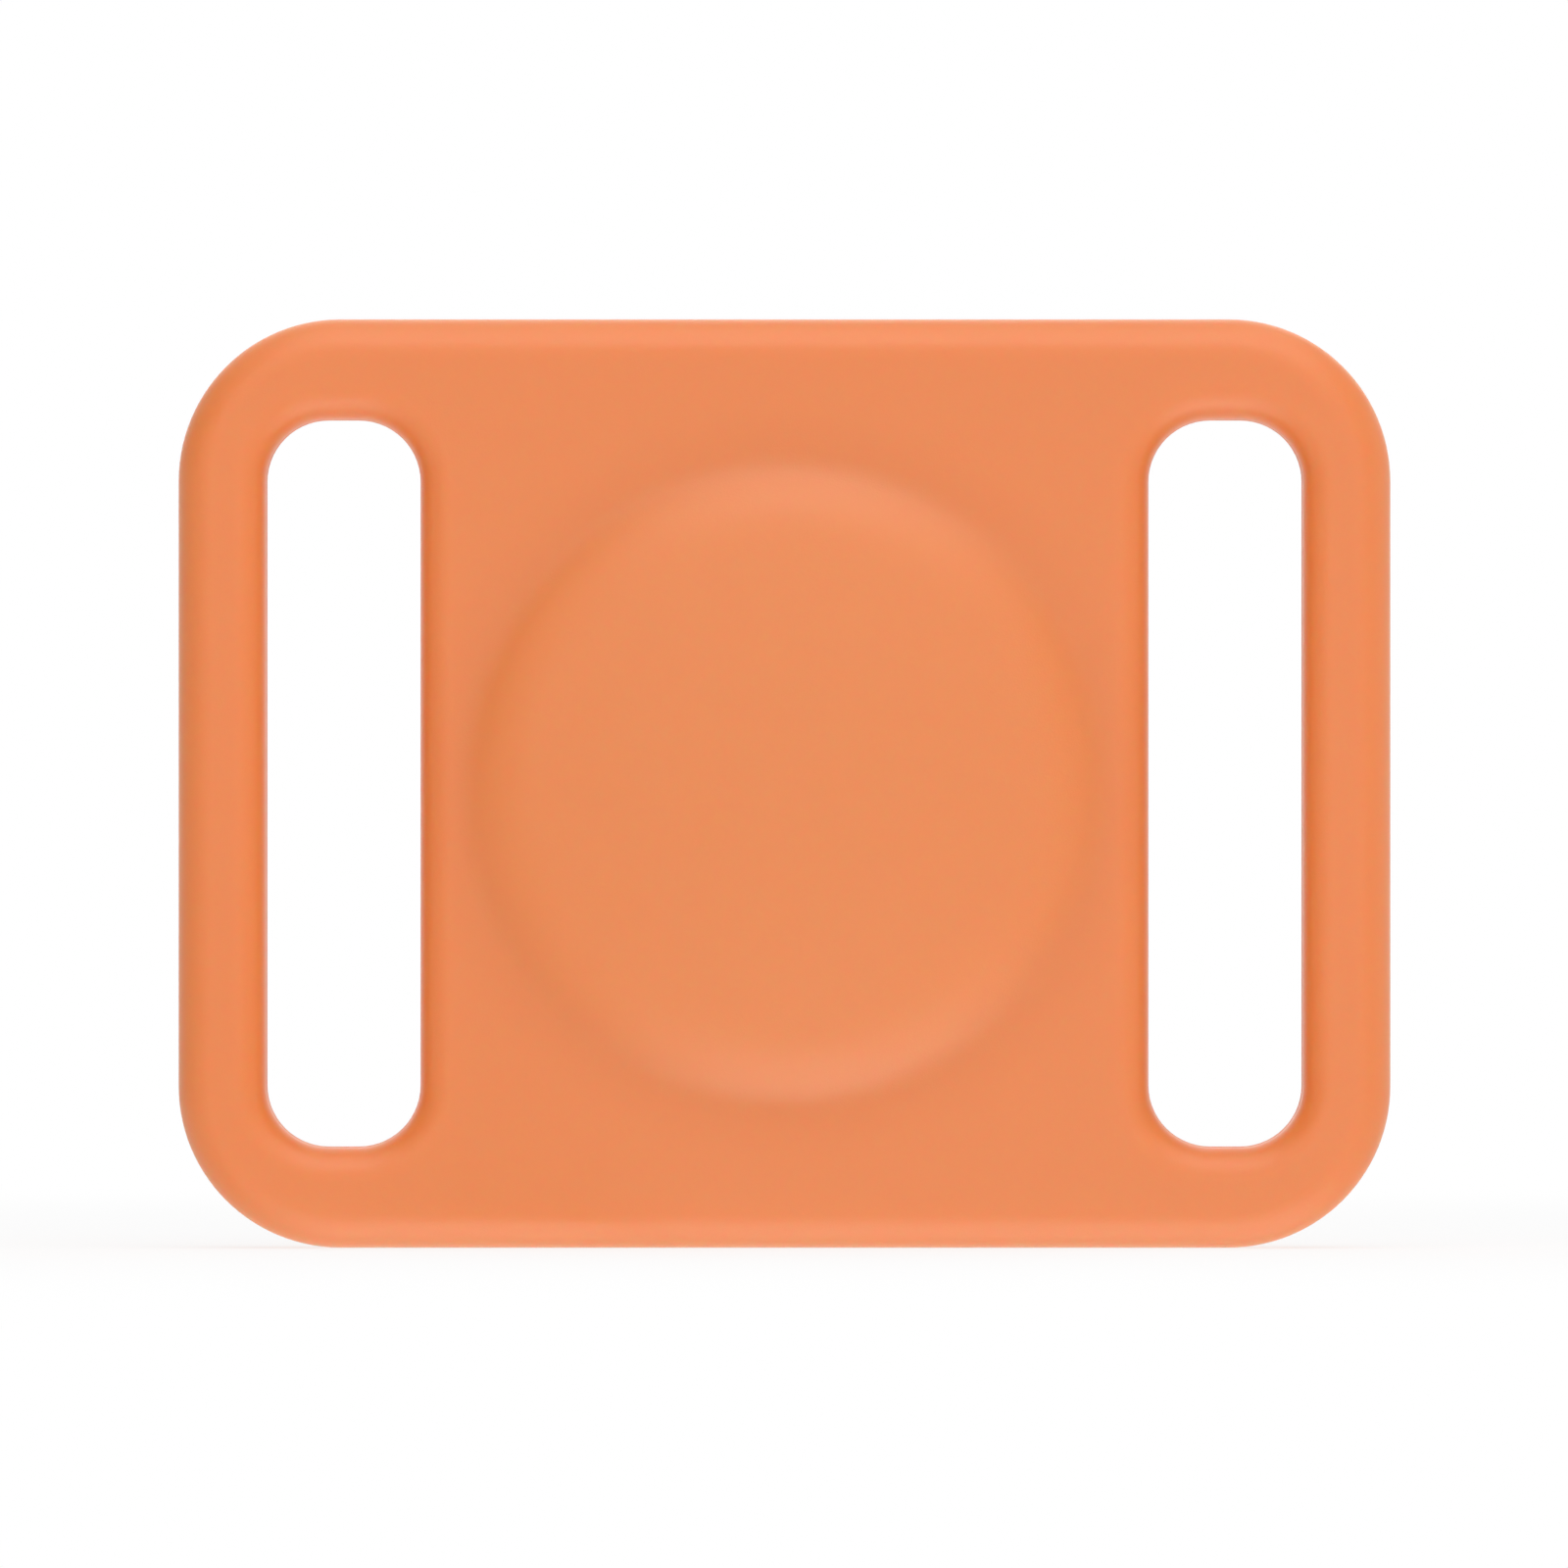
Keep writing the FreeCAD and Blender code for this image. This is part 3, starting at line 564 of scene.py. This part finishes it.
def siliconeFinish():
    look = newLook("orangeSilicone")
    tint, relief = silicone["tint"], silicone["relief"]
    drift = look.noise(silicone["drift"], detail=3)
    peel = look.noise(silicone["peel"])
    grain = look.noise(silicone["grain"], detail=3, rough=0.6)
    ring = look.fromAxis()
    front = look.between(*silicone["frontOnly"], look.along("Y"))
    thin = look.between(*silicone["thin"], ring)
    # painted shade: the front is darker in a ring round the foot of the dome, where the dome would shade
    # the plate
    paintedShadeRing = look.between(*silicone["paintedShadeRing"], ring) * look.between(*silicone["paintedShadeRingEnd"], ring)
    shaded = front * (tint["thin"] * thin - tint["paintedShadeRing"] * paintedShadeRing)
    patch = tint["drift"] * drift + tint["grain"] * grain + tint["even"] + shaded
    rough = silicone["driftRough"] * swing(drift) + silicone["grainRough"] * swing(grain)
    return look.surface(
        Base_Color=look.blend(patch, silicone["deep"], silicone["pale"]),
        Roughness=silicone["rough"] + rough,
        Normal=look.bump(relief["grain"] * grain + relief["peel"] * peel, silicone["depth"]),
        IOR=silicone["index"], Specular_IOR_Level=silicone["gloss"],
        Subsurface_Weight=silicone["scatterShare"], Subsurface_Radius=silicone["scatter"],
        Subsurface_Scale=silicone["scatterDepth"])


whiteShell = {
    "dull": tone(0.78, 0.78, 0.76),
    "bright": tone(0.83, 0.83, 0.81),
    "cloud": 9 * mm,                     # slow change of the white
    "scuff": 0.5 * mm,                   # rubbed streaks, longer along one turned axis
    "scuffLonger": (1.0, 1.0, 7.0),
    "scuffTurn": 0.5,
    "scuffFrom": (0.58, 0.74),
    "ripple": 0.8 * mm,
    "depth": 0.002 * mm,
    "rough": 0.16,
    "cloudRough": 0.05,
    "scuffRough": 0.14,
    "coat": 0.25,
    "coatRough": 0.08,
}


def whiteShellFinish():
    look = newLook("whiteShell")
    cloud = look.noise(whiteShell["cloud"], detail=3)
    streaks = look.stretched(whiteShell["scuffLonger"], turn=whiteShell["scuffTurn"])
    scuff = look.noise(whiteShell["scuff"], detail=4, vector=streaks)
    wear = look.between(*whiteShell["scuffFrom"], scuff)
    rough = whiteShell["cloudRough"] * cloud + whiteShell["scuffRough"] * wear
    return look.surface(
        Base_Color=look.blend(cloud, whiteShell["dull"], whiteShell["bright"]),
        Roughness=whiteShell["rough"] + rough,
        Coat_Weight=whiteShell["coat"], Coat_Roughness=whiteShell["coatRough"],
        Normal=look.bump(look.noise(whiteShell["ripple"]), whiteShell["depth"]))


steel = {
    "dull": tone(0.46, 0.457, 0.450),
    "bright": tone(0.60, 0.597, 0.590),
    "cloud": 6 * mm,                     # slow change of the polish
    "rings": 0.14 * mm,                  # marks left by spinning the sheet to shape
    "hairs": 0.10 * mm,                  # wear in a pocket, longer along three turned axes
    "hairLonger": (1.0, 1.0, 60.0),
    "hairTurns": (0.3, 1.2, 2.3),
    "hairFrom": (0.66, 0.74),
    "depth": 0.0015 * mm,
    "rough": 0.13,
    "ringRough": 0.10,
    "hairRough": 0.15,
    "tint": {"cloud": 0.50, "rings": 0.50, "hairs": -0.25},
    "relief": {"rings": 0.6, "hairs": -0.4},
}


def steelFinish():
    look = newLook("polishedSteel")
    tint, relief = steel["tint"], steel["relief"]
    cloud = look.noise(steel["cloud"], detail=4)
    ring = look.add("ShaderNodeCombineXYZ", sockets={"X": look.fromAxis()})
    rings = look.noise(steel["rings"], detail=3, vector=ring)
    hairs = 0.0
    for turn in steel["hairTurns"]:
        streak = look.noise(steel["hairs"], vector=look.stretched(steel["hairLonger"], turn))
        hairs = hairs + look.between(*steel["hairFrom"], streak)
    polish = tint["cloud"] * cloud + tint["rings"] * rings + tint["hairs"] * hairs
    return look.surface(
        Base_Color=look.blend(polish, steel["dull"], steel["bright"]), Metallic=1.0,
        Roughness=steel["rough"] + steel["ringRough"] * (1 - rings) + steel["hairRough"] * hairs,
        Normal=look.bump(relief["rings"] * rings + relief["hairs"] * hairs, steel["depth"]))


metal = {   # shared by the plain metals
    "cloud": 2 * mm,
    "depth": 0.003 * mm,
    "lineRough": 0.16,
    "cloudRough": 0.08,
    "tint": {"cloud": 0.6, "lines": 0.4},
}
metals = {
    "cell_steel": {
        "name": "nickelPlate", "dark": tone(0.50, 0.50, 0.49), "light": tone(0.61, 0.61, 0.59),
        "rough": 0.26, "grain": 0.15 * mm, "longer": (1.0, 10.0, 1.0)},
    "tinned_steel": {
        "name": "tinnedSheet", "dark": tone(0.52, 0.52, 0.50), "light": tone(0.64, 0.64, 0.61),
        "rough": 0.38, "grain": 0.4 * mm},
    "magnet": {
        "name": "platedMagnet", "dark": tone(0.44, 0.44, 0.46), "light": tone(0.56, 0.56, 0.58),
        "rough": 0.22, "grain": 0.3 * mm},
    "spring_bronze": {
        "name": "goldFlash", "dark": tone(0.66, 0.45, 0.17), "light": tone(0.80, 0.60, 0.28),
        "rough": 0.24, "grain": 0.12 * mm, "longer": (10.0, 1.0, 1.0)},
}


def metalFinish(name, dark, light, rough, grain, longer=(1.0, 1.0, 1.0)):
    look = newLook(name)
    tint = metal["tint"]
    cloud = look.noise(metal["cloud"], detail=3)
    lines = look.noise(grain, detail=3, vector=look.stretched(longer))
    return look.surface(
        Base_Color=look.blend(tint["cloud"] * cloud + tint["lines"] * lines, dark, light), Metallic=1.0,
        Roughness=rough + metal["lineRough"] * swing(lines) + metal["cloudRough"] * cloud,
        Normal=look.bump(lines, metal["depth"]))


moulding = {   # shared by the plain mouldings
    "cloud": 4 * mm,
    "skinRough": 0.14,
    "tint": {"cloud": 0.5, "skin": 0.5},
}
mouldings = {
    "dark_plastic": {
        "name": "darkMoulding", "dark": tone(0.030, 0.030, 0.033), "light": tone(0.055, 0.055, 0.060),
        "rough": 0.55, "grain": 0.12 * mm, "depth": 0.012 * mm},
    "seal_rubber": {
        "name": "sealRubber", "dark": tone(0.018, 0.018, 0.018), "light": tone(0.035, 0.035, 0.034),
        "rough": 0.78, "grain": 0.20 * mm, "depth": 0.015 * mm},
    "chip_plastic": {
        "name": "chipMoulding", "dark": tone(0.015, 0.015, 0.017), "light": tone(0.032, 0.032, 0.034),
        "rough": 0.48, "grain": 0.06 * mm, "depth": 0.010 * mm},
    "cell_core": {
        "name": "pressedPellet", "dark": tone(0.030, 0.030, 0.033), "light": tone(0.085, 0.085, 0.090),
        "rough": 0.82, "grain": 0.10 * mm, "depth": 0.030 * mm},
}


def mouldingFinish(name, dark, light, rough, grain, depth):
    look = newLook(name)
    tint = moulding["tint"]
    cloud, skin = look.noise(moulding["cloud"], detail=3), look.noise(grain, detail=3)
    return look.surface(
        Base_Color=look.blend(tint["cloud"] * cloud + tint["skin"] * skin, dark, light),
        Roughness=rough + moulding["skinRough"] * swing(skin), Normal=look.bump(skin, depth))


board = {
    "mask": tone(0.012, 0.085, 0.045),
    "track": tone(0.030, 0.150, 0.075),   # copper under the mask
    "pitch": 0.35 * mm,                   # half the step from track to track, along X
    "trackEdge": (0.20 * mm, 0.24 * mm),
    "wander": 0.8 * mm,                   # tracks swerve by this
    "wanderOver": 3 * mm,
    "patch": 2.2 * mm,                    # bare patches between groups of tracks
    "patchFrom": (0.42, 0.5),
    "trackFrom": (0.5, 0.9),
    "grain": 0.3 * mm,
    "depth": 0.015 * mm,
    "rough": 0.34,
    "trackRough": -0.08,
    "grainRough": 0.08,
    "coat": 0.3,
}


def boardFinish():
    look = newLook("greenLaminate")
    across, up = look.along("X"), look.along("Z")
    lanes = 0.0
    for way in (across + up, across - up):   # tracks run on both diagonals
        swerve = board["wander"] * look.noise(board["wanderOver"])
        wave = look.sum("PINGPONG", way + swerve, board["pitch"])
        lanes = lanes + look.between(*board["trackEdge"], wave)
    patches = look.between(*board["patchFrom"], look.noise(board["patch"]))
    tracks = look.between(*board["trackFrom"], lanes * patches)
    grain = look.noise(board["grain"])
    return look.surface(
        Base_Color=look.blend(tracks, board["mask"], board["track"]),
        Roughness=board["rough"] + board["trackRough"] * tracks + board["grainRough"] * grain,
        Coat_Weight=board["coat"], Normal=look.bump(tracks, board["depth"]))


ceramic = {
    "dark": tone(0.28, 0.20, 0.14),
    "light": tone(0.36, 0.27, 0.19),
    "tin": tone(0.62, 0.61, 0.58),
    "length": 1.0 * mm,                  # of one small part on the board
    "tinFrom": (0.26 * mm, 0.32 * mm),   # from its middle
    "speckle": 0.2 * mm,
    "grain": 0.1 * mm,
    "depth": 0.02 * mm,
    "rough": 0.45,
    "tinRough": -0.12,
    "grainRough": 0.1,
}


def ceramicFinish():
    look = newLook("tanCeramic")
    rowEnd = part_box("board_passives")[1].z   # the upper row ends here, the lower one at its mirror image
    rowMiddle = rowEnd - ceramic["length"] / 2
    ends = look.between(*ceramic["tinFrom"], abs(abs(look.along("Z")) - rowMiddle))
    body = look.blend(look.noise(ceramic["speckle"], detail=3), ceramic["dark"], ceramic["light"])
    grain = look.noise(ceramic["grain"])
    return look.surface(
        Base_Color=look.blend(ends, body, ceramic["tin"]), Metallic=ends,
        Roughness=ceramic["rough"] + ceramic["tinRough"] * ends + ceramic["grainRough"] * grain,
        Normal=look.bump(ends, ceramic["depth"]))


coil = {
    "shade": tone(0.30, 0.10, 0.04),
    "copper": tone(0.66, 0.29, 0.13),
    "wire": 0.05 * mm,                   # half its thickness
    "grain": 0.2 * mm,
    "depth": 0.03 * mm,
    "metal": 0.85,
    "rough": 0.32,
    "grainRough": 0.12,
    "coat": 0.4,                         # enamel
}


def coilFinish():
    look = newLook("copperWinding")
    turns = look.sum("PINGPONG", look.along("Y"), coil["wire"]) / coil["wire"]
    return look.surface(
        Base_Color=look.blend(turns, coil["shade"], coil["copper"]), Metallic=coil["metal"],
        Roughness=coil["rough"] + coil["grainRough"] * look.noise(coil["grain"]),
        Coat_Weight=coil["coat"], Normal=look.bump(turns, coil["depth"]))


finishes = {
    "silicone": siliconeFinish(),
    "white_shell": whiteShellFinish(),
    "polished_steel": steelFinish(),
    "board_laminate": boardFinish(),
    "ceramic": ceramicFinish(),
    "coil_copper": coilFinish(),
}
for slot, values in metals.items():
    finishes[slot] = metalFinish(**values)
for slot, values in mouldings.items():
    finishes[slot] = mouldingFinish(**values)
for part in frame["record"]["subparts"]:
    mesh = nodes[part["node"]].data
    mesh.materials.clear()
    mesh.materials.append(finishes[part["material_slot"]])
for piece, slot in ((holderPiece, "silicone"), (frontShell, "white_shell"), (backRing, "white_shell"),
                    (coverPiece, "polished_steel")):
    piece.data.materials.clear()
    piece.data.materials.append(finishes[slot])
print("finishes given:", len(finishes))


# Stage: a pale floor that lets light up through it, as a light table does, and a white room

stage = {
    "floorSize": 8.0,              # metres
    "floorDull": tone(0.86, 0.86, 0.86),
    "floorPale": tone(0.88, 0.88, 0.88),
    "floorDrift": 0.4,             # metres from one patch to the next
    "shadowShare": 0.25,           # how much of the floor's shading shows beside the object
    "shadowReach": (0.06, 0.24),   # it fades out between these distances
}


def makeFloor():
    startFresh()
    bpy.ops.mesh.primitive_plane_add(size=stage["floorSize"], location=(0, 0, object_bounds()[0].z))
    floor = bpy.context.object
    floor.name = floor.data.name = "paleFloor"
    bpy.ops.object.transform_apply(location=True, rotation=True, scale=True)
    look = newLook("paleFloor")
    away = look.add("ShaderNodeVectorMath", {"operation": "LENGTH"}, {0: look.place()}, out="Value")
    white = 1 - stage["shadowShare"] * (1 - look.between(*stage["shadowReach"], away))
    matt = look.add("ShaderNodeBsdfDiffuse", sockets={
        "Color": look.blend(look.noise(stage["floorDrift"]), stage["floorDull"], stage["floorPale"])})
    glow = look.add("ShaderNodeEmission", sockets={"Color": tone(1, 1, 1), "Strength": 1.0})
    camera, glossy, passing, shadow, soft = (
        look.add("ShaderNodeLightPath", out=f"Is {kind} Ray")
        for kind in ("Camera", "Glossy", "Transmission", "Shadow", "Diffuse"))
    direct = look.sum("MINIMUM", white * camera + glossy + passing, 1.0)
    seen = look.add("ShaderNodeMixShader", sockets={0: direct, 1: matt, 2: glow})
    clear = look.add("ShaderNodeBsdfTransparent")
    lit = look.sum("MAXIMUM", shadow, soft)   # light on its way to the object passes the floor
    both = look.add("ShaderNodeMixShader", sockets={0: lit, 1: seen, 2: clear})
    look.add("ShaderNodeOutputMaterial", sockets={"Surface": both})
    floor.data.materials.append(look.owner)


room = {   # how bright each side is, and how narrow
    "front": (1.24, 3),
    "back": (1.60, 2),
    "left": (0.29, 4),
    "right": (1.14, 6),
    "above": (0.75, 2),
    "below": (0.67, 2),
}


def makeRoom():
    world = bpy.data.worlds.new("studioRoom")
    bpy.context.scene.world = world
    look = Look(world)
    way = look.add("ShaderNodeTexCoord", out="Generated")
    across, away, up = (look.add("ShaderNodeSeparateXYZ", sockets={"Vector": way}, out=axis)
                        for axis in "XYZ")
    level = 0.0
    sides = {"front": -1 * away, "back": away, "left": -1 * across, "right": across,
             "above": up, "below": -1 * up}
    for side, facing in sides.items():
        bright, narrow = room[side]
        level = level + bright * look.sum("POWER", look.sum("MAXIMUM", facing, 0.0), narrow)
    camera = look.add("ShaderNodeLightPath", out="Is Camera Ray")
    glow = look.add("ShaderNodeBackground", sockets={
        "Color": tone(1, 1, 1), "Strength": camera + (1 - camera) * level})
    look.add("ShaderNodeOutputWorld", sockets={"Surface": glow})


lamps = {   # watts, and metres from the middle of the back
    "overhead": {"place": (0.07, -0.17, 0.47), "size": (0.60, 0.45), "power": 0.92},
    "overFront": {"place": (0.07, -0.38, 0.32), "size": (0.45, 0.20), "power": 0.33},
    "under": {"place": (0.07, -0.17, -0.47), "size": (0.60, 0.45), "power": 0.91},
    "underFront": {"place": (0.07, -0.38, -0.32), "size": (0.45, 0.20), "power": 0.27},
    "leftFill": {"place": (-0.45, -0.15, 0.0), "size": (0.45, 0.60), "power": 0.27, "gloss": False},
}


def makeLamps():
    for name, lamp in lamps.items():
        startFresh()
        aim = (Vector((0, 0, 0)) - Vector(lamp["place"])).to_track_quat("-Z", "Y")
        bpy.ops.object.light_add(type="AREA", location=lamp["place"], rotation=aim.to_euler())
        light = bpy.context.object
        light.name = light.data.name = name
        light.data.shape = "RECTANGLE"
        light.data.size, light.data.size_y = lamp["size"]
        light.data.energy = lamp["power"]
        # the floor stops glossy rays, so a lamp under it is only sampled as a light
        light.data.cycles.use_multiple_importance_sampling = lamp["place"][2] > cadBox[0].z
        light.visible_camera = False
        light.visible_glossy = lamp.get("gloss", True)   # a filtered lamp lights without a reflection


# Camera: straight in front, at the height of the middle, framed as the photograph

photo = {
    "frame": 1600,               # pixels across
    "outline": 1236,             # pixels across the plate
    "middle": (800.5, 799.5),    # pixel at the middle of the plate
    "distance": 1.6,             # metres from the outline to the lens
    "sensor": 36.0,              # millimetres
}


def makeCamera():
    span = holder["width"] * photo["frame"] / photo["outline"]
    perPixel = span / photo["frame"]
    half = photo["frame"] / 2
    across, up = (half - photo["middle"][0]) * perPixel, (photo["middle"][1] - half) * perPixel
    outlineDepth = holder["plate"] - holder["edgeRound"]   # the walls that make the outline end here
    startFresh()
    bpy.ops.object.camera_add(
        location=(across, -outlineDepth - photo["distance"], up), rotation=(math.pi / 2, 0, 0))
    camera = bpy.context.object
    camera.name = camera.data.name = "frontCamera"
    camera.data.sensor_fit = "HORIZONTAL"
    camera.data.sensor_width = photo["sensor"]
    camera.data.lens = photo["sensor"] * photo["distance"] / span
    bpy.context.scene.camera = camera


makeFloor()
makeRoom()
makeLamps()
makeCamera()
bpy.context.scene.view_settings.view_transform = "Standard"
print("stage set:", len(lamps), "lamps")

startFresh()
